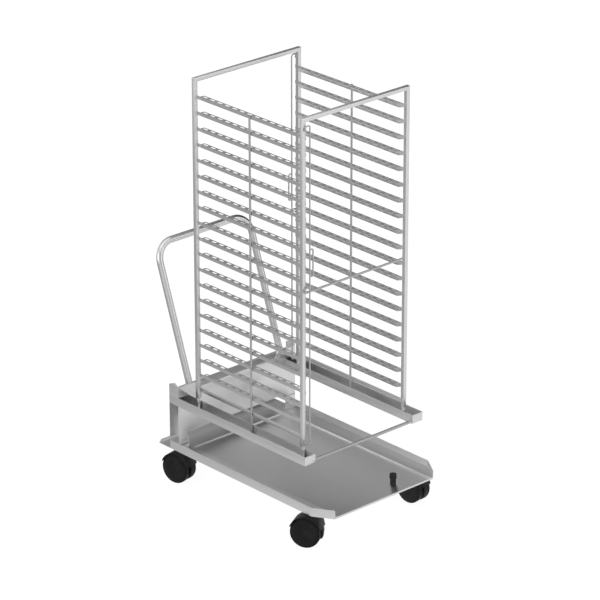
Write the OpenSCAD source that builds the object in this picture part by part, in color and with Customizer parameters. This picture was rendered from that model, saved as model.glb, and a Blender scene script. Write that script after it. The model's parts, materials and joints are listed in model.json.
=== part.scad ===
/* [Rack] */
// Outside width of the rack over its uprights
rack_w = 572; // [540:1:620]
// Depth of the rack over its uprights
rack_d = 650; // [560:1:700]
// Height of the whole trolley above the floor
top_z = 1794; // [1700:1:1900]
// Side of the square tube
tube = 17; // [15:0.5:22]
// Wall of the square tube
tube_wall = 1.5; // [1:0.1:2]
// Height of one tray level
pitch = 67; // [62:0.5:68]
// Number of tray levels
levels = 19; // [6:1:19]
// Height of the lowest rail's underside above the floor
low_rail_z = 498; // [480:1:510]

/* [Rails] */
// Height of a rail's web
rail_h = 14.5; // [12:0.5:18]
// Width of a rail's flanges
rail_flange = 19; // [15:0.5:20]
// Sheet thickness of the rails
rail_sheet = 1.2; // [1:0.1:1.5]
// Length of a slot in the upper flange
slot_l = 27; // [18:1:32]
// Width of a slot in the upper flange
slot_w = 10; // [6:0.5:11]
// Spacing of the slots along the rail
slot_pitch = 44; // [40:1:60]
// How far the upper flange is cut back at the rail's ends
flange_cut = 38; // [30:1:45]
// Height of the plain bar below the lowest rail
bar_h = 17.5; // [14:0.5:20]
// Thickness of the plain bar
bar_t = 3; // [2:0.5:4]

/* [Rods] */
// Diameter of the upright rods at mid depth
mid_rod_d = 9; // [8:0.5:10]
// Diameter of the tie rod between the front uprights
tie_rod_d = 9.5; // [8:0.5:10]
// Height of the tie rod above the floor
tie_rod_z = 1064; // [1055:1:1072]
// Diameter of the tray guards' rod
guard_d = 6; // [5:0.5:6]
// How far a guard's rod stands from its pivot
guard_reach = 24.5; // [22:0.5:28]
// How far a guard's grip stands inside its rod
grip_reach = 17; // [16:0.5:20]
// Height of a guard's grip
grip_h = 114; // [80:1:140]

/* [Carriage] */
// Width of the carriage over its sides
carriage_w = 649; // [630:1:660]
// Sheet thickness of the carriage
sheet = 1.5; // [1:0.1:2]
// Length of the channels in front of the rack's centre
channel_front = 380; // [372:1:390]
// Height of a channel
channel_h = 38; // [30:1:40]
// Height of the channels' underside above the floor
channel_z = 354.7; // [345:0.1:362]
// Diameter of the rod between the channels' fronts
cross_rod_d = 14; // [10:0.5:16]
// Length of the pan in front of the rack's centre
pan_front = 500; // [480:1:520]
// Height of the pan's underside above the floor
pan_z = 147.7; // [140:0.1:152]
// Height of the pan's flanges
pan_h = 38; // [30:1:45]
// Width of the pan's ledge
ledge_w = 67; // [60:1:75]
// Height of the ledge above the pan's sunk floor
ledge_h = 8; // [5:0.5:9]
// Diameter of the peg on the pan's floor
peg_d = 29; // [20:1:34]
// Height of the peg
peg_h = 48; // [30:1:60]

/* [Apron and handle] */
// Distance of the apron's face behind the rack's centre
apron_y = 390; // [385:1:395]
// Depth of the apron from its face to its rear sheet
apron_depth = 55; // [50:1:60]
// Height of the apron's ears above the floor
ear_z = 440; // [430:1:446]
// Diameter of the handle's tube
handle_d = 29.5; // [25:0.5:31]
// Width of the handle between its legs' centre lines
handle_w = 502; // [470:1:506]
// Height of the handle's top bar above the floor
handle_z = 991; // [900:1:1050]
// Lean of the handle's legs from upright, in degrees
handle_lean = 19.5; // [10:0.5:25]
// Bend radius of the handle's corners
handle_bend = 80; // [60:1:95]

/* [Casters] */
// Diameter of the wheels
wheel_d = 127; // [120:1:128]
// Width over a caster's two wheels
wheel_span = 68; // [62:1:72]
// Width of one wheel
wheel_w = 24; // [20:0.5:25]
// Distance of the wheel's axle behind the swivel
trail = 30; // [26:0.5:34]
// Distance between the swivels across the trolley
swivel_w = 581; // [576:1:584]
// Distance of the front swivels from the rack's centre
swivel_front = 398; // [385:1:405]
// Distance of the rear swivels from the rack's centre
swivel_rear = 393; // [380:1:400]

/* [Hidden] */
$fn = 48;
// Overrun of every cut and the clearance of pieces that stand side by side
over = 1;
seat = 0.2;
// Radial clearance of a pin that turns in its bore
fit = 0.08;
// Height of the gap between pieces that turn on each other
swivel_gap = 0.4;

// Rack
rack_x = rack_w / 2;
rack_y = rack_d / 2;
web_x = rack_x - tube;
post_x = rack_x - tube / 2;
post_y = rack_y - tube / 2;
rail_l = rack_d - tube;
foot_gap = 13;
channel_floor_z = channel_z + sheet;
foot_d = tube - 2 * seat;
post_z = channel_z + channel_h + foot_gap;
bar_z = low_rail_z - pitch;
bar_nose = 8;
end_slope = 12;
slot_inset = 3;
slot_count = floor((rail_l - 2 * flange_cut - slot_l) / slot_pitch) + 1;
slot_first = (rail_l - (slot_count - 1) * slot_pitch) / 2;
tip_r = 6;
web_tip_share = 0.6;
mid_rod_x = web_x + mid_rod_d / 2;
mid_rod_top = low_rail_z + (levels - 1) * pitch + rail_h;
mid_rod_y = -5;

// Tray guards
guard_r = guard_d / 2;
guard_bend = 8;
eye_wall = 2.2;
eye_r = guard_r + fit + eye_wall;
guard_y = rack_y + eye_r;
guard_x = post_x;
eye_h = 8;
pin_l = guard_bend + swivel_gap + eye_h + guard_r;
guard_rise = 22;
guard_drop = 32;
guard_low = channel_z + channel_h + guard_rise;
guard_top = top_z - guard_drop;
guard_mid = (guard_low + guard_top) / 2;
grip_rise = 45;
grip_z = guard_mid + grip_rise;
grip_bend = 7;

// Channels
side_x = carriage_w / 2;
channel_in = web_x - seat - sheet;
channel_back = apron_y + apron_depth;
cross_rod_z = channel_z + cross_rod_d / 2 + 2 * sheet;

// Pan
pan_floor = pan_z + sheet;
ledge_z = pan_floor + ledge_h;
pan_back = channel_back;
shelf_d = 73;
shelf_back = pan_back + shelf_d;
corner_y = 83;
corner_x = 52;
lip_h = 13;
peg_x = 115;
peg_y = -428;
peg_neck_share = 0.84;
peg_cap_share = 0.4;
peg_neck_d = peg_d * peg_neck_share;
peg_cap_h = peg_h * peg_cap_share;

// Apron
ear_h = 28;
flange_z = ear_z - ear_h;
ear_in = handle_w / 2 - handle_d / 2 - 2 * over;
ear_foot = ear_in - ear_h;
peak_rise = 16;
peak_y = 20;
sheet_rise = 82;
leg_rise = 61;
back_rise = 53;
sheet_low = pan_z + sheet_rise;
leg_low = pan_z + leg_rise;
back_low = pan_z + back_rise;
leg_in = channel_in - seat;
apron_back = apron_depth + seat;
bracket_slot_h = 12;
bracket_slot_z = 20;
bracket_edge = 8;
bracket_foot = 18;

// Handle
handle_r = handle_d / 2;
leg_x = handle_w / 2;
leg_y = apron_y + sheet + handle_r;
knee_drop = 4;
lean_z = ear_z - knee_drop;
leg_slope = (handle_z - lean_z) / cos(handle_lean);
handle_y = leg_y + leg_slope * sin(handle_lean);
leg_hide = 25;
leg_low_z = sheet_low + leg_hide;
clamp_w = 64;
clamp_h = 24;
clamp_t = 3;
clamp_ear = (clamp_w - 2 * (handle_r + clamp_t)) / 2;
clamp_rise = 14;
clamp_drop = 32;
clamp_low = leg_low_z + clamp_rise;
clamp_high = channel_z - clamp_drop;

// Casters
wheel_r = wheel_d / 2;
plate_d = 62;
plate_t = 3;
race_d = 30;
race_t = 5;
pin_r = 6;
caster_top = ledge_z - sheet;
race_low = caster_top - plate_t - race_t;
neck_top = race_low - swivel_gap;
neck_r = 21;
kingpin_l = 22;
axle_r = 5;
web_gap = 0.5;
web_w = wheel_span - 2 * wheel_w - 2 * web_gap;
hood_gap = 2.5;
hood_t = 3;
hood_r = wheel_r + hood_gap + hood_t;
hood_rise = 20;
hood_low = wheel_r + hood_rise;
hub_r = 24;
dish = 4;
tyre_round = 4;
stud_r = 4;
stud_x = 23;
stud_end = 0.5;
nut_sides = 6;
nut_d = 14.8;
nut_h = 4;
turn_front_left = 29;
turn_front_right = 5;
turn_rear_left = 12;
turn_rear_right = -29;

// The origin is on the floor, below the middle of the whole outline
origin_y = (handle_y + handle_r - pan_front) / 2;

CASTERS = ["front_left", "front_right", "rear_left", "rear_right"];
function side_of(c) = c == "front_left" || c == "rear_left" ? -1 : 1;
function is_front(c) = c == "front_left" || c == "front_right";
function caster_y(c) = is_front(c) ? -swivel_front : swivel_rear;
function caster_turn(c) =
    c == "front_left" ? turn_front_left : c == "front_right" ? turn_front_right
    : c == "rear_left" ? turn_rear_left : turn_rear_right;

// Places a piece that is drawn about the rack's centre
module stand() {
    translate([0, -origin_y, 0]) children();
}

module both_sides() {
    children();
    mirror([1, 0, 0]) children();
}

// A copy turned half round about the rack's upright middle line
module half_turn() {
    rotate(180) children();
}

// A plate drawn in X and Z, its near face at Y
module upright_sheet(y, t) {
    translate([0, y + t, 0]) rotate([90, 0, 0]) linear_extrude(t) children();
}

// A plate drawn in Y and Z, its low X face at X
module side_sheet(x, t) {
    translate([x, 0, 0]) rotate([90, 0, 90]) linear_extrude(t) children();
}

// Quarter of a bent rod, from the start of its turn about the Z axis
module rod_bend(bend, r, turn = 90) {
    rotate_extrude(angle = turn) translate([bend, 0]) circle(r);
}

// Square tube frame: two uprights and a top bar, closed all round
module tube_frame() {
    difference() {
        frame_form(0);
        frame_form(tube_wall);
    }
}

module frame_form(inset) {
    side = tube - 2 * inset;
    for (x = [-post_x, post_x])
        translate([x - side / 2, -side / 2, post_z + inset])
            cube([side, side, top_z - post_z - 2 * inset]);
    translate([-post_x, -side / 2, top_z - tube + inset])
        cube([2 * post_x, side, side]);
}

module front_frame() {
    color("silver") stand() translate([0, -post_y, 0]) tube_frame();
}

module rear_frame() {
    color("silver") stand() translate([0, post_y, 0]) tube_frame();
}

// Round feet that fill the gap between the tubes and the channel floors
module rack_feet() {
    color("gainsboro") stand()
        for (x = [-post_x, post_x], y = [-post_y, post_y])
            translate([x, y, channel_floor_z])
                cylinder(d = foot_d, h = post_z - channel_floor_z);
}

// Upper flange of a rail: cut back at both ends with round corners, and slotted
module slotted_flange() {
    first = flange_cut - tip_r;
    last = rail_l - flange_cut + tip_r;
    difference() {
        union() {
            translate([0, first]) square([rail_flange - tip_r, last - first]);
            translate([0, first + tip_r]) square([rail_flange, last - first - 2 * tip_r]);
            translate([rail_flange - tip_r, first + tip_r]) circle(tip_r);
            translate([rail_flange - tip_r, last - tip_r]) circle(tip_r);
        }
        for (i = [0 : slot_count - 1])
            translate([rail_sheet + slot_inset + slot_w / 2, slot_first + i * slot_pitch])
                slot();
    }
}

module slot() {
    straight = slot_l - slot_w;
    translate([-slot_w / 2, -straight / 2]) square([slot_w, straight]);
    for (y = [-straight / 2, straight / 2]) translate([0, y]) circle(slot_w / 2);
}

// Left rail from its butt end at Y 0: web, plain lower flange and slotted upper flange
module rail() {
    linear_extrude(rail_sheet) polygon([
        [0, 0], [rail_flange, end_slope], [rail_flange, rail_l - 2 * end_slope], [0, rail_l - end_slope]]);
    translate([0, 0, rail_h - rail_sheet]) linear_extrude(rail_sheet) slotted_flange();
    side_sheet(0, rail_sheet) polygon([
        [0, 0], [rail_l - end_slope, 0], [rail_l, rail_h * web_tip_share], [rail_l, rail_h], [0, rail_h]]);
}

// The left rail butts on the front upright's back, the right one on the rear upright's front
module rail_pair(k) {
    z = low_rail_z + (levels - k) * pitch;
    color("lightgray") stand() {
        translate([-web_x, -rack_y + tube, z]) rail();
        half_turn() translate([-web_x, -rack_y + tube, z]) rail();
    }
}

module bottom_bar() {
    translate([-web_x, -rack_y + tube, bar_z]) side_sheet(0, bar_t) polygon([
        [0, 0], [rail_l - bar_nose, 0], [rail_l, bar_nose], [rail_l, bar_h], [0, bar_h]]);
}

module left_bottom_bar() {
    color("lightgray") stand() bottom_bar();
}

module right_bottom_bar() {
    color("lightgray") stand() half_turn() bottom_bar();
}

module mid_rod(x) {
    translate([x, mid_rod_y, channel_floor_z])
        cylinder(d = mid_rod_d, h = mid_rod_top - channel_floor_z);
}

module left_mid_rod() {
    color("silver") stand() mid_rod(-mid_rod_x);
}

module right_mid_rod() {
    color("silver") stand() mid_rod(mid_rod_x);
}

module front_tie_rod() {
    color("silver") stand() translate([-web_x, -post_y, tie_rod_z])
        rotate([0, 90, 0]) cylinder(d = tie_rod_d, h = 2 * web_x);
}

// Eye on an upright's outer face that a guard's pin turns in
module eye(z) {
    translate([-guard_x, -guard_y, z]) difference() {
        cylinder(r = eye_r, h = eye_h);
        translate([0, 0, -over]) cylinder(r = guard_r + fit, h = eye_h + 2 * over);
    }
}

// Three eyes a guard: below the top and middle arms, above the low one
module guard_eyes() {
    reach = guard_bend + swivel_gap;
    color("silver") stand() for (half = [0, 180]) rotate(half) {
        for (z = [guard_mid, guard_top]) eye(z - reach - eye_h);
        eye(guard_low + reach);
    }
}

// Pivot pin of a guard, bent over into the arm above it
module guard_pin() {
    translate([0, 0, -pin_l]) cylinder(r = guard_r, h = pin_l - guard_bend);
    translate([guard_bend, 0, -guard_bend]) rotate([90, 0, 0]) rotate(90)
        rod_bend(guard_bend, guard_r);
}

// Arm from the pivot pin over to the guard's long rod, bent down at both ends
module guard_arm() {
    guard_pin();
    translate([guard_bend, 0, 0]) rotate([0, 90, 0])
        cylinder(r = guard_r, h = guard_reach - 2 * guard_bend);
    translate([guard_reach - guard_bend, 0, -guard_bend]) rotate([90, 0, 0])
        rod_bend(guard_bend, guard_r);
}

// D-shaped grip: a short rod beside the long one, bent into it at both ends
module guard_grip() {
    run = grip_reach - grip_bend;
    for (m = [0, 1]) translate([guard_reach, 0, grip_z + grip_h / 2]) mirror([0, 0, m])
        translate([0, 0, grip_h / 2]) {
            rotate([0, 90, 0]) cylinder(r = guard_r, h = run);
            translate([run, 0, -grip_bend]) rotate([90, 0, 0]) rod_bend(grip_bend, guard_r);
        }
    translate([guard_reach + grip_reach, 0, grip_z + grip_bend])
        cylinder(r = guard_r, h = grip_h - 2 * grip_bend);
}

// Tray guard about its pivot: long rod, three arms and the grip
module guard() {
    translate([-guard_x, -guard_y, 0]) {
        translate([0, 0, guard_top]) guard_arm();
        translate([0, 0, guard_low]) mirror([0, 0, 1]) guard_arm();
        translate([0, 0, guard_mid]) {
            guard_pin();
            translate([guard_bend, 0, 0]) rotate([0, 90, 0])
                cylinder(r = guard_r, h = guard_reach - guard_bend);
        }
        translate([guard_reach, 0, guard_low + guard_bend])
            cylinder(r = guard_r, h = guard_top - guard_low - 2 * guard_bend);
        guard_grip();
    }
}

module front_guard() {
    color("silver") stand() guard();
}

module rear_guard() {
    color("silver") stand() half_turn() guard();
}

// Left channel: open at the top, closed by a plate at the front
module channel() {
    length = channel_front + channel_back;
    width = side_x - channel_in;
    translate([-side_x, -channel_front, channel_z]) difference() {
        cube([width, length, channel_h]);
        translate([sheet, sheet, sheet]) cube([width - 2 * sheet, length, channel_h]);
    }
}

module left_channel() {
    color("silver") stand() channel();
}

module right_channel() {
    color("silver") stand() mirror([1, 0, 0]) channel();
}

module channel_cross_rod() {
    color("silver") stand()
        translate([-channel_in, -channel_front + cross_rod_d / 2, cross_rod_z])
            rotate([0, 90, 0]) cylinder(d = cross_rod_d, h = 2 * channel_in);
}

// Half outline of the pan in plan, from the front corner back to the shelf
function pan_half(inset) = [
    [0, -pan_front], [side_x - corner_x - inset, -pan_front],
    [side_x - inset, -pan_front + corner_y], [side_x - inset, pan_back]];

module pan_plan(inset) {
    both_sides() polygon(concat(pan_half(inset), [[0, pan_back]]));
}

// Folded pan: outer flanges, a raised ledge round three sides and a sunk floor
module drip_pan() {
    ledge_in = side_x - ledge_w;
    floor_back = pan_back - ledge_w;
    color("silver") stand() {
        translate([0, 0, pan_z]) linear_extrude(pan_h) difference() {
            pan_plan(0);
            pan_plan(sheet);
        }
        translate([0, 0, ledge_z - sheet]) linear_extrude(sheet) difference() {
            pan_plan(sheet);
            translate([-ledge_in, -pan_front - over])
                square([2 * ledge_in, pan_front + floor_back + over]);
        }
        translate([0, 0, pan_z]) linear_extrude(ledge_z - pan_z) difference() {
            translate([-ledge_in, -pan_front])
                square([2 * ledge_in, pan_front + floor_back]);
            translate([-ledge_in + sheet, -pan_front - over])
                square([2 * (ledge_in - sheet), pan_front + floor_back - sheet + over]);
        }
        translate([-ledge_in, -pan_front, pan_z])
            cube([2 * ledge_in, pan_front + floor_back, sheet]);
        pan_front_lip();
        pan_shelf();
    }
}

// Small downturned edge along the open front
module pan_front_lip() {
    front_x = side_x - corner_x;
    translate([-front_x, -pan_front, pan_z]) cube([2 * front_x, sheet, ledge_h]);
}

// Shelf behind the apron with a low lip whose ends are cut off
module pan_shelf() {
    translate([-side_x, pan_back - sheet, pan_z])
        cube([2 * side_x, shelf_back - pan_back + sheet, sheet]);
    translate([-side_x + sheet, pan_back - sheet, pan_z])
        cube([2 * (side_x - sheet), sheet, ledge_z - pan_z]);
    upright_sheet(shelf_back - sheet, sheet) polygon([
        [-side_x, pan_z], [side_x, pan_z], [side_x - lip_h, pan_z + lip_h],
        [-side_x + lip_h, pan_z + lip_h]]);
}

module stop_peg() {
    color("black") stand() translate([peg_x, peg_y, pan_floor]) {
        cylinder(d = peg_neck_d, h = peg_h - peg_cap_h);
        translate([0, 0, peg_h - peg_cap_h]) cylinder(d = peg_d, h = peg_cap_h);
    }
}

// Half outline of the apron's face: ear, notch for the channel, and leg
function apron_half() = [
    [0, sheet_low], [leg_in, sheet_low], [leg_in, leg_low], [side_x, leg_low],
    [side_x, channel_z - seat], [channel_in - seat, channel_z - seat],
    [channel_in - seat, channel_z + channel_h + seat], [side_x, channel_z + channel_h + seat],
    [side_x, ear_z], [ear_in, ear_z], [ear_foot, flange_z], [0, flange_z]];

// Folded apron across the rear: face, side returns above the channels, top flange, rear sheet
module rear_apron() {
    inner = apron_back + sheet;
    return_low = channel_z + channel_h + seat;
    color("gainsboro") stand() {
        upright_sheet(apron_y, sheet) both_sides() polygon(apron_half());
        apron_top_flange();
        both_sides() side_sheet(side_x - sheet, sheet) translate([apron_y, 0]) polygon([
            [0, return_low], [inner, return_low], [inner, ear_z], [peak_y, ear_z + peak_rise],
            [0, ear_z]]);
        translate([-side_x, apron_y + apron_back, back_low])
            cube([2 * side_x, sheet, flange_z - back_low]);
    }
}

// Top flange between the face and the rear sheet, with holes for the handle's legs
module apron_top_flange() {
    difference() {
        translate([-side_x + sheet, apron_y, flange_z - sheet])
            cube([2 * (side_x - sheet), apron_back + sheet, sheet]);
        for (x = [-leg_x, leg_x]) translate([x, leg_y, flange_z - sheet - over])
            cylinder(r = handle_r + seat, h = sheet + 2 * over);
    }
}

// Brackets that carry the apron's legs on the pan's ledge
module apron_brackets() {
    width = side_x - sheet - seat - leg_in;
    color("gainsboro") stand() both_sides() translate([leg_in, apron_y, ledge_z]) {
        upright_sheet(-sheet - seat, sheet) difference() {
            square([width, leg_low + bracket_edge - ledge_z]);
            translate([bracket_edge, bracket_slot_z - bracket_slot_h / 2])
                square([width - 2 * bracket_edge, bracket_slot_h]);
        }
        translate([0, -sheet - seat - bracket_foot, 0]) cube([width, bracket_foot, sheet]);
    }
}

// Leaning part of the handle, drawn upright above its knees
module handle_bow() {
    bar = leg_x - handle_bend;
    both_sides() translate([leg_x, 0, 0]) {
        difference() {
            translate([0, 0, -handle_r])
                cylinder(r = handle_r, h = leg_slope - handle_bend + handle_r);
            rotate([handle_lean / 2, 0, 0]) translate([-handle_r - over, -handle_d, -handle_d])
                cube([handle_d + 2 * over, 2 * handle_d, handle_d]);
        }
        translate([-handle_bend, 0, leg_slope - handle_bend]) rotate([90, 0, 0])
            rod_bend(handle_bend, handle_r);
    }
    translate([-bar, 0, leg_slope]) rotate([0, 90, 0]) cylinder(r = handle_r, h = 2 * bar);
}

// Upright leg of the handle, cut to a mitre at its knee
module handle_leg() {
    translate([0, leg_y, 0]) difference() {
        translate([0, 0, leg_low_z])
            cylinder(r = handle_r, h = lean_z - leg_low_z + handle_r);
        translate([0, 0, lean_z]) rotate([-handle_lean / 2, 0, 0])
            translate([-handle_r - over, -handle_d, 0])
                cube([handle_d + 2 * over, 2 * handle_d, handle_d]);
    }
}

// Push handle: upright legs behind the apron, a knee in each, and the leaning bow
module push_handle() {
    color("whitesmoke") stand() {
        for (x = [-leg_x, leg_x]) translate([x, 0, 0]) handle_leg();
        translate([0, leg_y, lean_z]) rotate([-handle_lean, 0, 0]) handle_bow();
    }
}

// Saddles behind the apron that clamp the handle's legs
module handle_clamps() {
    color("silver") stand() both_sides() for (z = [clamp_low, clamp_high])
        translate([leg_x - clamp_w / 2, apron_y + sheet, z]) difference() {
            cube([clamp_w, handle_r + clamp_t + handle_r, clamp_h]);
            translate([clamp_w / 2, handle_r, -over])
                cylinder(r = handle_r + seat / 2, h = clamp_h + 2 * over);
            translate([clamp_w / 2 - handle_r - seat / 2, -over, -over])
                cube([2 * handle_r + seat, handle_r + over, clamp_h + 2 * over]);
            for (s = [0, 1]) translate([s * (clamp_w - clamp_ear), clamp_t, -over])
                cube([clamp_ear, 2 * handle_r + clamp_t, clamp_h + 2 * over]);
        }
}

// Places a piece drawn about its swivel axis, turned as it stands
module at_caster(c, turned = true) {
    stand() translate([side_of(c) * swivel_w / 2, caster_y(c), 0])
        rotate(turned ? caster_turn(c) : 0) children();
}

// Four places round the swivel axis for the studs, at a height
module at_studs(z) {
    for (a = [0 : 90 : 270]) rotate(a) translate([stud_x, 0, z]) children();
}

// Round fixing plate with its ball race and the kingpin
module caster_plate(c) {
    color("silver") at_caster(c, false) {
        translate([0, 0, caster_top - plate_t]) difference() {
            cylinder(d = plate_d, h = plate_t);
            at_studs(-over) cylinder(r = stud_r + seat, h = plate_t + 2 * over);
        }
        translate([0, 0, race_low]) cylinder(d = race_d, h = race_t);
        translate([0, 0, neck_top - kingpin_l])
            cylinder(r = pin_r, h = kingpin_l + swivel_gap + race_t);
    }
}

// Studs and thin nuts that hold the casters' plates under the pan's ledge
module caster_studs() {
    color("silver") for (c = CASTERS) at_caster(c, false)
        at_studs(caster_top - plate_t - nut_h) {
            cylinder(d = nut_d, h = nut_h, $fn = nut_sides);
            translate([0, 0, -stud_end]) cylinder(r = stud_r, h = nut_h + plate_t + stud_end);
        }
}

// Angle at which a line from a point touches a circle about the axle, on its left or right
function touch(p, r, s) = atan2(p[1], p[0]) + s * acos(r / norm(p));

// Side outline of the hood about the axle: neck, two slopes and the round of the wheels
module hood_outline(r) {
    neck = neck_top - wheel_r;
    ahead = [trail + neck_r, neck];
    behind = [trail - neck_r, neck];
    a = touch(ahead, r, -1);
    b = touch(behind, r, 1);
    circle(r);
    polygon([ahead, behind, [r * cos(b), r * sin(b)], [0, 0], [r * cos(a), r * sin(a)]]);
}

// Black hooded fork: a web between the wheels and a cover over them
module caster_hood(c) {
    low = hood_low - wheel_r;
    color("dimgray") at_caster(c) difference() {
        translate([0, trail, wheel_r]) rotate([90, 0, -90]) {
            translate([0, 0, -wheel_span / 2]) linear_extrude(wheel_span) difference() {
                hood_outline(hood_r);
                circle(wheel_r + hood_gap);
                translate([-2 * wheel_r, -2 * wheel_r]) square([4 * wheel_r, 2 * wheel_r + low]);
            }
            translate([0, 0, -web_w / 2]) linear_extrude(web_w) difference() {
                hood_outline(hood_r);
                translate([-2 * wheel_r, -2 * wheel_r])
                    square([4 * wheel_r, 2 * wheel_r - hub_r]);
            }
        }
        translate([0, 0, neck_top - kingpin_l - over])
            cylinder(r = pin_r + fit, h = kingpin_l + 2 * over);
        translate([-web_w, trail, wheel_r]) rotate([0, 90, 0])
            cylinder(r = axle_r + fit, h = 2 * web_w);
    }
}

module caster_axle(c) {
    span = wheel_span - 2 * dish;
    color("gray") at_caster(c) translate([-span / 2, trail, wheel_r]) rotate([0, 90, 0])
        cylinder(r = axle_r, h = span);
}

// One wheel of a pair, turned profile: rounded tread, dished outer face and a bore
module wheel() {
    rotate([0, 90, 0]) rotate_extrude($fn = 2 * $fn) difference() {
        union() {
            translate([axle_r, 0]) square([wheel_r - axle_r - tyre_round, wheel_w]);
            translate([axle_r, tyre_round])
                square([wheel_r - axle_r, wheel_w - 2 * tyre_round]);
            for (y = [tyre_round, wheel_w - tyre_round])
                translate([wheel_r - tyre_round, y]) circle(tyre_round);
        }
        translate([0, wheel_w - dish]) square([hub_r, 2 * dish]);
    }
}

module caster_wheels(c) {
    color("black") at_caster(c) translate([0, trail, wheel_r]) both_sides()
        translate([wheel_span / 2 - wheel_w, 0, 0]) wheel();
}

drip_pan();
rear_apron();
apron_brackets();
left_channel();
right_channel();
channel_cross_rod();
push_handle();
handle_clamps();
stop_peg();
front_frame();
rear_frame();
rack_feet();
left_bottom_bar();
right_bottom_bar();
left_mid_rod();
right_mid_rod();
front_tie_rod();
guard_eyes();
front_guard();
rear_guard();
caster_studs();
for (k = [1 : levels])
    rail_pair(k);
for (c = CASTERS) {
    caster_plate(c);
    caster_hood(c);
    caster_axle(c);
    caster_wheels(c);
}
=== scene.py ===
"""Looks of the tray trolley: stainless rack, channels, drip pan, handle and black casters.

Lengths are in metres, lamps in watts, and the angles of the named values in degrees.
"""
import json
import math

import bmesh
import bpy
from mathutils import Matrix, Vector

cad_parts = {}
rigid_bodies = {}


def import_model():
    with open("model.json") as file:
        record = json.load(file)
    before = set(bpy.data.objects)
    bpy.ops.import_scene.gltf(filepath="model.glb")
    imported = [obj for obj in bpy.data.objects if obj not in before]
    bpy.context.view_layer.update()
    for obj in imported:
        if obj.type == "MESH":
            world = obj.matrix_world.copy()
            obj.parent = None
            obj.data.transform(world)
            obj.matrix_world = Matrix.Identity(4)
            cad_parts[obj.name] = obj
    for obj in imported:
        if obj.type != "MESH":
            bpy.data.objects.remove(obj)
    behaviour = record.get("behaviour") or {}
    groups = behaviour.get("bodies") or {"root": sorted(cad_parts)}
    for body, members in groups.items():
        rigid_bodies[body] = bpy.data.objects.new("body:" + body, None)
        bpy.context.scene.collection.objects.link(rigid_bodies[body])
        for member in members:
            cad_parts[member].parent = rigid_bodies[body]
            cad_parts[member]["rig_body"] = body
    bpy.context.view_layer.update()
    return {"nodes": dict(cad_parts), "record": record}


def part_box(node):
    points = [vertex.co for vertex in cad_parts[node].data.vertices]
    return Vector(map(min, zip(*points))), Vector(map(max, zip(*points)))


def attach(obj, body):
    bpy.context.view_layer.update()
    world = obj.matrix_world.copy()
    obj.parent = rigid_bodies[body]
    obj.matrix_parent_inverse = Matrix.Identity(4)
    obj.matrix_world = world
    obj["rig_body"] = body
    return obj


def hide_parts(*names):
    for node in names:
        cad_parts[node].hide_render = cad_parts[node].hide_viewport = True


TROLLEY = "trolley"

# The camera's place, its turn about X, Y and Z, its lens, and how far it sees
CAMERA_AT = (-8.981, -9.8928, 6.504)
CAMERA_TURN = (67.05, 0.03, -42.43)
CAMERA_LENS = 215.04
CAMERA_SENSOR = 36
CAMERA_SHIFT = (-0.0023, -0.0017)
CAMERA_REACH = 200

# Large soft lamps, which leave no hard spot on the sheets
LAMPS = {
    "key": {"at": (3.5, -6.5, 4.2), "aim": (0, 0, 0.9), "size": (8, 6), "power": 150},
    "top": {"at": (0, 0, 6.5), "aim": (0, 0, 0), "size": (7, 7), "power": 110},
    "side": {"at": (-6.5, 1.5, 3.0), "aim": (0, 0, 0.9), "size": (3, 4), "power": 36},
}

# The floor's own greys, and the share and strength of the glow that the camera sees on it
FLOOR_RADIUS = 40
FLOOR_SIDES = 96
FLOOR_DROP = 0.0005
FLOOR_GREY = (0.8, 0.8, 0.8)
FLOOR_DARKER = (0.79, 0.79, 0.79)
FLOOR_LIGHTER = (0.81, 0.81, 0.81)
FLOOR_PATCHES = 0.8
FLOOR_ROUGHNESS = 0.9
FLOOR_SPECULAR = 0.1
FLOOR_WHITE = 0.8
FLOOR_GLOW = 1.18

# The floor as the metal shows it: brighter in one direction, over this reach
GLOSS_SIDE = (0.7, -0.7, 0)
GLOSS_REACH = (-1.6, 0.7)
GLOSS_FLOOR = (0.37, 0.82)

# The sky as the trolley is lit by it: brighter in one direction, over this reach
SKY_SIDE = (-0.9, 0.3, -0.3)
SKY_REACH = (-0.9, 0.9)
SKY_LIGHT = (0.0, 0.95)

WHITE = (1, 1, 1, 1)

# Metals by material slot. The grain's small number is the axis that the lines follow.
ALLOY = (0.8, 0.8, 0.803)
ZINC = (0.46, 0.46, 0.47)
METALS = {
    "sheet_steel": {"name": "ground_sheet", "roughness": 0.33, "grain": (1, 0.02, 1)},
    "tube_steel": {"name": "ground_tube", "roughness": 0.34, "grain": (1, 1, 0.02)},
    "rail_steel": {
        "name": "rolled_rail", "light": 0.97, "roughness": 0.33, "grain": (1, 0.02, 1),
    },
    # The drawn rods take 0.74 of the alloy's brightness: painted shade that greys the rods.
    "rod_steel": {
        "name": "drawn_rod", "light": 0.74, "roughness": 0.45, "grain": (1, 1, 0.05),
    },
    "tube_polished": {
        "name": "polished_tube", "light": 1.03, "roughness": 0.25, "grain": (1, 1, 0.05),
        "spread": 0.02,
    },
    "caster_steel": {
        "name": "zinc_plate", "color": ZINC, "roughness": 0.42, "grain": (0.4, 0.4, 0.4),
    },
    "weld": {"name": "weld_metal", "light": 0.7, "roughness": 0.45, "grain": (1, 1, 1)},
}

# Plastics and rubber by material slot, and the dust that lies on them
DUST = (0.13, 0.127, 0.124)
MOULDINGS = {
    "hood_black": {
        "name": "hood_plastic", "color": (0.006, 0.006, 0.007), "roughness": 0.42, "dust": 0.1,
    },
    "wheel_black": {
        "name": "wheel_plastic", "color": (0.006, 0.006, 0.006), "roughness": 0.46, "dust": 0.1,
    },
    "peg_black": {
        "name": "peg_rubber", "color": (0.028, 0.028, 0.028), "roughness": 0.62, "dust": 0.25,
    },
}
MOULDED_SPECULAR = 0.22

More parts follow.
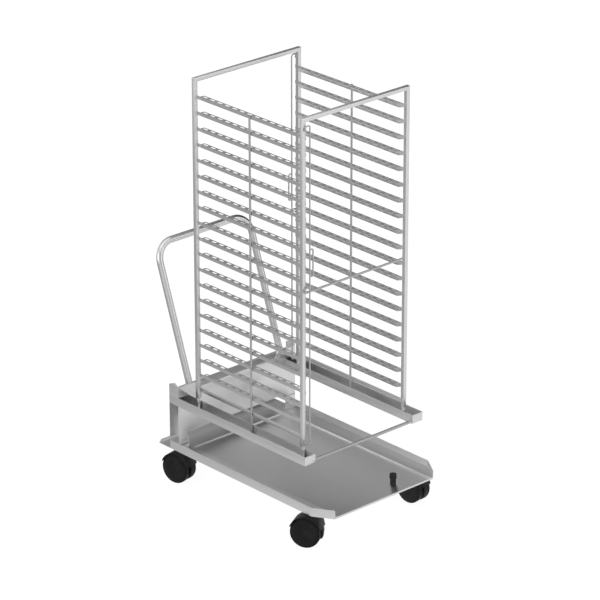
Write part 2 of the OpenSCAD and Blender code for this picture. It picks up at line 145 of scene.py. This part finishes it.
# Noise: features to a metre, the span of its values that counts, and what it changes
NOISE_SPAN = (0.3, 0.7)
LINES = 1400
LINES_SHARE = 0.4
LINES_ROUGHNESS = (-0.03, 0.03)
LINES_DEPTH = 0.00002
LINES_BUMP = 0.2
CLOUDS = 3.5
CLOUDS_SHARE = 0.6
WIPES = 28
WIPES_SPAN = (0.35, 0.7)
WIPES_ROUGHNESS = (0, 0.03)
GRAIN = 1600
GRAIN_DEPTH = 0.0002
GRAIN_BUMP = 0.3
PATCHES = 22
DUST_SPAN = (0.45, 0.8)
PATCHES_ROUGHNESS = (-0.06, 0.08)

# Edges that are rounded over the CAD nodes, and by how much
MERGE_DISTANCE = 1e-6
FLAT_ANGLE = math.radians(0.5)
SHARP_ANGLE = math.radians(30)
EDGE_STEPS = 2
SOFT_EDGES = {
    "front_frame": 0.0018, "rear_frame": 0.0018, "left_channel": 0.0006,
    "right_channel": 0.0006, "drip_pan": 0.0006, "rear_apron": 0.0006,
    "apron_brackets": 0.0005, "handle_clamps": 0.0008, "rack_feet": 0.0006,
    "left_bottom_bar": 0.0006, "right_bottom_bar": 0.0006, "stop_peg": 0.003,
    "guard_eyes": 0.0006,
}
HOOD_EDGE = 0.0022

# The push handle's centre line, as in the CAD: legs, knees, lean and top corners
TUBE_SIDES = 32
HANDLE_LEG_X = 0.251
HANDLE_LEG_Y = 0.347482
HANDLE_R = 0.01475
HANDLE_LEAN = 19.5
HANDLE_TOP = 0.991
CORNER_BEND = 0.08
CORNER_STEPS = 14
KNEE_Z = 0.436
KNEE_BEND = 0.09
KNEE_STEPS = 6

# The casters' turns at rest, how far a wheel trails its kingpin, and a wheel's radius
CASTERS = {"front_left": 29, "front_right": 5, "rear_left": 12, "rear_right": -29}
TRAIL = 0.03
WHEEL_R = 0.0635

# Profiles of one wheel of a pair, in millimetres: radius, and distance from the pair's middle
MM_IN_METRE = 1000
WHEEL_STEPS = 64
DISC_PROFILE = (
    (6, 10.3), (21, 10.3), (23, 13), (48, 13), (50, 10.6), (56, 10.6), (57.4, 12), (57.4, 31),
    (56.8, 32.4), (55.4, 33), (44, 33.5), (30, 33.8), (24.9, 33.8), (24.5, 33.4), (24.5, 30.5),
    (6, 30.5),
)
CAP_PROFILE = ((2, 30.4), (24, 30.4), (24, 33.4), (23.6, 33.8), (12, 34), (2, 34))
TYRE_PROFILE = (
    (57.5, 11), (60, 10.2), (62.6, 11.4), (63.5, 13.6), (63.5, 29), (62.9, 31.4), (61, 32.8),
    (58.6, 32.6), (57.5, 31.4),
)

# Weld beads: width, length of a ripple, and how much wider the ripple is than its ends
BEAD_SIZE = 0.0016
BEAD_SIDES = 6
BEAD_STEPS = 20
BEAD_RIPPLE = 0.0012
BEAD_WIDE = 1.12
FEWEST_RIPPLES = 3


class Value:
    """A socket of a node tree, with arithmetic that adds Math nodes."""

    def __init__(self, nodes, socket):
        self.nodes = nodes
        self.socket = socket

    def math(self, operation, first, second):
        return self.nodes.node("Math", {0: first, 1: second}, operation=operation)

    def __add__(self, other):
        return self.math("ADD", self, other)

    def __sub__(self, other):
        return self.math("SUBTRACT", self, other)

    def __rsub__(self, other):
        return self.math("SUBTRACT", other, self)

    def __mul__(self, other):
        return self.math("MULTIPLY", self, other)

    __radd__ = __add__
    __rmul__ = __mul__

    def ramp(self, low, high, start=0.0, end=1.0):
        """Moves low..high to start..end, with the ends held."""
        return self.nodes.node(
            "MapRange", {"Value": self, 1: low, 2: high, 3: start, 4: end}
        )


class Nodes:
    """A node tree and the one way that its nodes are made."""

    def __init__(self, tree):
        self.tree = tree

    def node(self, kind, inputs, output=0, **settings):
        made = self.tree.nodes.new("ShaderNode" + kind)
        for name, value in settings.items():
            setattr(made, name, value)
        for key, value in inputs.items():
            if isinstance(value, Value):
                self.tree.links.new(value.socket, made.inputs[key])
            else:
                made.inputs[key].default_value = value
        return Value(self, made.outputs[output])

    def across(self, place, side, reach, levels):
        """Goes from the first level to the second over a reach in one direction."""
        along = self.node("VectorMath", {0: place, 1: side}, output="Value",
                          operation="DOT_PRODUCT")
        return along.ramp(*reach, *levels)


class Look(Nodes):
    """A material and the nodes that make it."""

    def __init__(self, name, color, roughness, metallic=0.0, specular=0.5):
        self.material = bpy.data.materials.new(name)
        self.material.use_nodes = True
        super().__init__(self.material.node_tree)
        self.shader = self.tree.nodes["Principled BSDF"]
        self.set("Base Color", (*color, 1))
        self.set("Roughness", roughness)
        self.set("Metallic", metallic)
        self.set("Specular IOR Level", specular)
        self.place = self.node("TexCoord", {}, output="Object")

    def set(self, name, value):
        if isinstance(value, Value):
            self.tree.links.new(value.socket, self.shader.inputs[name])
        else:
            self.shader.inputs[name].default_value = value

    def noise(self, scale, stretch=(1, 1, 1), detail=2.0, roughness=0.5):
        """Noise with scale features a metre, drawn out along the axes with a small stretch."""
        place = self.node("Mapping", {"Vector": self.place, "Scale": stretch})
        return self.node(
            "TexNoise",
            {"Vector": place, "Scale": scale, "Detail": detail, "Roughness": roughness},
        )

    def mix(self, amount, low, high):
        return self.node(
            "Mix", {0: amount, 6: (*low, 1), 7: (*high, 1)}, output=2, data_type="RGBA"
        )

    def bump(self, height, depth, strength):
        self.set("Normal", self.node(
            "Bump", {"Height": height, "Distance": depth, "Strength": strength}
        ))


def shade(color, factor):
    return tuple(c * factor for c in color)


def steel(name, roughness, grain, color=ALLOY, light=1, spread=0.04):
    """Ground stainless steel: fine lines along one axis, faint clouds and wipe marks."""
    # Light scales the alloy's brightness; for the drawn rods the lower value is painted shade
    # that greys them.
    color = shade(color, light)
    look = Look(name, color, roughness, metallic=1.0)
    lines = look.noise(LINES, grain, detail=3, roughness=0.6)
    clouds = look.noise(CLOUDS, detail=4)
    wipes = look.noise(WIPES, tuple(g ** 0.5 for g in grain), detail=3)
    look.set("Base Color", look.mix(
        clouds.ramp(*NOISE_SPAN) * CLOUDS_SHARE + lines.ramp(*NOISE_SPAN) * LINES_SHARE,
        shade(color, 1 - spread), shade(color, 1 + spread),
    ))
    look.set("Roughness",
             lines.ramp(*NOISE_SPAN, *LINES_ROUGHNESS)
             + wipes.ramp(*WIPES_SPAN, *WIPES_ROUGHNESS) + roughness)
    look.bump(lines, LINES_DEPTH, LINES_BUMP)
    return look.material


def moulded(name, color, roughness, dust):
    """Moulded plastic or rubber: a fine eroded grain and pale dust in soft patches."""
    look = Look(name, color, roughness, specular=MOULDED_SPECULAR)
    grain = look.noise(GRAIN, detail=4, roughness=0.65)
    patches = look.noise(PATCHES, detail=5, roughness=0.6)
    look.set("Base Color", look.mix(patches.ramp(*DUST_SPAN, 0, dust), color, DUST))
    look.set("Roughness", patches.ramp(*NOISE_SPAN, *PATCHES_ROUGHNESS) + roughness)
    look.bump(grain, GRAIN_DEPTH, GRAIN_BUMP)
    return look.material


def add_object(name, data):
    made = bpy.data.objects.new(name, data)
    bpy.context.scene.collection.objects.link(made)
    return made


def make_camera():
    """Camera at the photograph's viewing angle."""
    data = bpy.data.cameras.new("camera")
    data.lens = CAMERA_LENS
    data.sensor_width = CAMERA_SENSOR
    data.shift_x, data.shift_y = CAMERA_SHIFT
    data.clip_end = CAMERA_REACH
    camera = add_object("camera", data)
    camera.location = CAMERA_AT
    camera.rotation_euler = [math.radians(a) for a in CAMERA_TURN]
    bpy.context.scene.camera = camera


def area_light(name, at, aim, size, power):
    data = bpy.data.lights.new(name, "AREA")
    data.shape = "RECTANGLE"
    data.size, data.size_y = size
    data.energy = power
    light = add_object(name, data)
    light.location = at
    light.rotation_euler = (Vector(aim) - Vector(at)).to_track_quat("-Z", "Y").to_euler()


def make_floor():
    """Pale floor that the camera sees white but for the shadow, and that the metal shows."""
    mesh = bpy.data.meshes.new("floor")
    shape = bmesh.new()
    bmesh.ops.create_circle(shape, cap_ends=True, segments=FLOOR_SIDES, radius=FLOOR_RADIUS)
    shape.to_mesh(mesh)
    shape.free()
    floor = add_object("floor", mesh)
    floor.location.z = -FLOOR_DROP
    pale = Look("pale_floor", FLOOR_GREY, FLOOR_ROUGHNESS, specular=FLOOR_SPECULAR)
    pale.set("Base Color", pale.mix(pale.noise(FLOOR_PATCHES), FLOOR_DARKER, FLOOR_LIGHTER))
    seen = pale.node("LightPath", {}, output="Is Camera Ray")
    mirrored = pale.node("LightPath", {}, output="Is Glossy Ray")
    gloss = pale.across(pale.place, GLOSS_SIDE, GLOSS_REACH, GLOSS_FLOOR)
    glow = pale.node("Emission", {
        "Color": WHITE, "Strength": seen * FLOOR_GLOW + mirrored * gloss,
    })
    surface = pale.node("MixShader", {
        0: seen * FLOOR_WHITE + mirrored, 1: Value(pale, pale.shader.outputs["BSDF"]), 2: glow,
    })
    output = pale.tree.nodes["Material Output"]
    pale.tree.links.new(surface.socket, output.inputs["Surface"])
    mesh.materials.append(pale.material)


def make_world():
    """White behind the object, and a grey light on it that comes more from its left."""
    world = bpy.data.worlds.new("studio")
    bpy.context.scene.world = world
    world.use_nodes = True
    sky = Nodes(world.node_tree)
    way = sky.node("TexCoord", {}, output="Generated")
    seen = sky.node("LightPath", {}, output="Is Camera Ray")
    light = sky.across(way, SKY_SIDE, SKY_REACH, SKY_LIGHT)
    strength = light * (1 - seen) + seen
    back = sky.tree.nodes["Background"]
    back.inputs["Color"].default_value = WHITE
    sky.tree.links.new(strength.socket, back.inputs["Strength"])


def make_stage():
    bpy.context.scene.view_settings.view_transform = "Standard"
    make_world()
    make_floor()
    for name, lamp in LAMPS.items():
        area_light(name, **lamp)


def dress(frame):
    """Gives every CAD node its finish."""
    looks = {slot: steel(**metal) for slot, metal in METALS.items()}
    looks.update({slot: moulded(**moulding) for slot, moulding in MOULDINGS.items()})
    for part in frame["record"]["subparts"]:
        data = frame["nodes"][part["node"]].data
        data.materials.clear()
        data.materials.append(looks[part["material_slot"]])
        for face in data.polygons:
            face.material_index = 0
    return looks


def new_piece(name, shape, look, body):
    """Makes a bmesh a piece of the object that rides on a CAD body."""
    for face in shape.faces:
        face.smooth = True
    mesh = bpy.data.meshes.new(name)
    shape.to_mesh(mesh)
    shape.free()
    mesh.set_sharp_from_angle(angle=SHARP_ANGLE)
    mesh.materials.append(look)
    made = add_object(name, mesh)
    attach(made, body)
    return made


def slot_of(frame, node):
    return next(p["material_slot"] for p in frame["record"]["subparts"] if p["node"] == node)


def softened(frame, looks, node, width):
    """A copy of a CAD node with its edges rounded, standing for the node."""
    source = frame["nodes"][node]
    slot = slot_of(frame, node)
    shape = bmesh.new()
    shape.from_mesh(source.data)
    bmesh.ops.remove_doubles(shape, verts=shape.verts, dist=MERGE_DISTANCE)
    bmesh.ops.dissolve_limit(
        shape, angle_limit=FLAT_ANGLE, use_dissolve_boundaries=False,
        verts=shape.verts, edges=shape.edges,
    )
    edges = [e for e in shape.edges if e.is_manifold and e.calc_face_angle(0) > SHARP_ANGLE]
    bmesh.ops.bevel(
        shape, geom=edges, offset=width, offset_type="OFFSET", segments=EDGE_STEPS,
        profile=0.5, affect="EDGES", material=-1, clamp_overlap=True, harden_normals=False,
    )
    piece = new_piece("soft_" + node, shape, looks[slot], source["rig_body"])
    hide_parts(node)


def round_edges(frame, looks):
    """Rounds the edges that a hand would find rounded: tubes, folds and mouldings."""
    for node, width in SOFT_EDGES.items():
        softened(frame, looks, node, width)
    for place in CASTERS:
        softened(frame, looks, "caster_hood_" + place, HOOD_EDGE)


def edges_of(geometry):
    return [g for g in geometry if isinstance(g, bmesh.types.BMEdge)]


def start_ring(shape, matrix, radius, sides, capped=True):
    """A ring, level with the floor unless the matrix tilts it, that a tube is drawn from."""
    made = bmesh.ops.create_circle(
        shape, cap_ends=capped, segments=sides, radius=radius, matrix=matrix
    )
    return list(dict.fromkeys(e for v in made["verts"] for e in v.link_edges))


def run(shape, ring, way):
    """Draws the tube on in a straight line."""
    made = bmesh.ops.extrude_edge_only(shape, edges=ring)["geom"]
    moved = [g for g in made if isinstance(g, bmesh.types.BMVert)]
    bmesh.ops.translate(shape, verts=moved, vec=way)
    return [e for e in edges_of(made) if all(v in moved for v in e.verts)]


def turn(shape, ring, centre, axis, angle, steps):
    """Draws the tube on round a bend."""
    made = bmesh.ops.spin(
        shape, geom=ring, cent=centre, axis=axis, angle=angle, steps=steps, use_merge=False
    )
    return edges_of(made["geom_last"])


def push_handle(looks):
    """Bent tube: two legs with eased knees, and the leaning bow between them."""
    low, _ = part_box("push_handle")
    foot = Vector((-HANDLE_LEG_X, HANDLE_LEG_Y, low.z))
    knee = Vector((-HANDLE_LEG_X, HANDLE_LEG_Y, KNEE_Z))
    lean = math.radians(HANDLE_LEAN)
    knee_run = KNEE_BEND * math.tan(lean / 2)
    leg_run = KNEE_Z - knee_run - low.z
    slope = (HANDLE_TOP - KNEE_Z) / math.cos(lean)
    up = Vector((0, math.sin(lean), math.cos(lean)))
    across = Vector((1, 0, 0))
    shape = bmesh.new()
    ring = start_ring(shape, Matrix.Translation(foot), HANDLE_R, TUBE_SIDES)
    ring = run(shape, ring, (0, 0, leg_run))
    centre = foot + Vector((0, KNEE_BEND, leg_run))
    ring = turn(shape, ring, centre, across, -lean, KNEE_STEPS)
    ring = run(shape, ring, up * (slope - knee_run - CORNER_BEND))
    centre = knee + up * (slope - CORNER_BEND) + across * CORNER_BEND
    ring = turn(shape, ring, centre, up.cross(across), math.pi / 2, CORNER_STEPS)
    run(shape, ring, across * (HANDLE_LEG_X - CORNER_BEND))
    bmesh.ops.mirror(shape, geom=shape.verts[:] + shape.edges[:] + shape.faces[:],
                     axis="X", merge_dist=MERGE_DISTANCE)
    bmesh.ops.recalc_face_normals(shape, faces=shape.faces)
    piece = new_piece("handle_tube", shape, looks["tube_polished"], TROLLEY)
    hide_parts("push_handle")


def caster_place(place):
    """From a caster's own frame, with its swivel at the origin, to where it stands."""
    low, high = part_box("caster_plate_" + place)
    centre = (low + high) / 2
    spot = Matrix.Translation((centre.x, centre.y, 0))
    return spot @ Matrix.Rotation(math.radians(CASTERS[place]), 4, "Z")


def turned(shape, profile, side):
    """Spins a closed profile of radius and distance out, round a wheel's axle."""
    rim = [
        shape.verts.new((side * out / MM_IN_METRE, 0, radius / MM_IN_METRE))
        for radius, out in profile
    ]
    edges = [shape.edges.new((a, b)) for a, b in zip(rim, rim[1:] + rim[:1])]
    bmesh.ops.spin(
        shape, geom=rim + edges, cent=(0, 0, 0), axis=(1, 0, 0), angle=2 * math.pi,
        steps=WHEEL_STEPS, use_merge=True,
    )


def wheel_pieces(looks, place):
    """Dished discs with a hub cap, and a tyre on each, in place of the plain wheels."""
    move = caster_place(place) @ Matrix.Translation((0, TRAIL, WHEEL_R))
    body = place + "_wheel_pair"
    for name, profiles, slot in (
        ("disc_", (DISC_PROFILE, CAP_PROFILE), "hood_black"),
        ("tyre_", (TYRE_PROFILE,), "wheel_black"),
    ):
        shape = bmesh.new()
        for profile in profiles:
            for side in (-1, 1):
                turned(shape, profile, side)
        bmesh.ops.remove_doubles(shape, verts=shape.verts, dist=MERGE_DISTANCE)
        bmesh.ops.recalc_face_normals(shape, faces=shape.faces)
        bmesh.ops.transform(shape, matrix=move, verts=shape.verts)
        piece = new_piece(name + place, shape, looks[slot], body)
        if name == "disc_":
            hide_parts("caster_wheels_" + place)


def bead(shape, start, end):
    """A weld bead: a thin rod whose thickness ripples along its length."""
    start, end = Vector(start), Vector(end)
    way = end - start
    ripples = max(FEWEST_RIPPLES, round(way.length / BEAD_RIPPLE))
    aim = way.to_track_quat("Z", "Y").to_matrix().to_4x4()
    ring = start_ring(shape, Matrix.Translation(start) @ aim, BEAD_SIZE / 2, BEAD_SIDES)
    for i in range(1, ripples + 1):
        ring = run(shape, ring, way / ripples)
        rim = list(dict.fromkeys(v for e in ring for v in e.verts))
        middle = start + way * i / ripples
        factor = BEAD_WIDE if i % 2 else 1 / BEAD_WIDE
        bmesh.ops.scale(shape, vec=(factor,) * 3, verts=rim,
                        space=Matrix.Translation(-middle))
    bmesh.ops.contextual_create(shape, geom=ring)


def bead_ring(shape, at, axis, radius):
    """A weld bead round a rod."""
    at, axis = Vector(at), Vector(axis)
    side = axis.orthogonal().normalized()
    aim = axis.cross(side).to_track_quat("Z", "Y").to_matrix().to_4x4()
    ring = start_ring(shape, Matrix.Translation(at + side * radius) @ aim, BEAD_SIZE,
                      BEAD_SIDES, capped=False)
    rim = list(dict.fromkeys(v for e in ring for v in e.verts))
    bmesh.ops.spin(shape, geom=rim + ring, cent=at, axis=axis,
                   angle=2 * math.pi, steps=BEAD_STEPS, use_merge=True)


def welds(frame, looks):
    """Weld beads where the rails and rods meet the tubes and channels."""
    shape = bmesh.new()
    for node in frame["nodes"]:
        if node.startswith("rail_pair_"):
            low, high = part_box(node)
            for side, y in ((-1, low.y), (1, high.y)):
                x = side * (high.x - low.x) / 2
                bead(shape, (x, y, low.z), (x, y, high.z))
    for node in ("front_tie_rod", "channel_cross_rod"):
        low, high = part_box(node)
        centre = (low + high) / 2
        for x in (low.x, high.x):
            bead_ring(shape, (x, centre.y, centre.z), (1, 0, 0), (high.z - low.z) / 2)
    for node in ("left_mid_rod", "right_mid_rod"):
        low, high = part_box(node)
        centre = (low + high) / 2
        bead_ring(shape, (centre.x, centre.y, low.z), (0, 0, 1), (high.x - low.x) / 2)
    bmesh.ops.recalc_face_normals(shape, faces=shape.faces)
    new_piece("weld_beads", shape, looks["weld"], TROLLEY)


def main():
    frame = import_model()
    make_camera()
    make_stage()
    looks = dress(frame)
    round_edges(frame, looks)
    push_handle(looks)
    for place in CASTERS:
        wheel_pieces(looks, place)
    welds(frame, looks)


main()
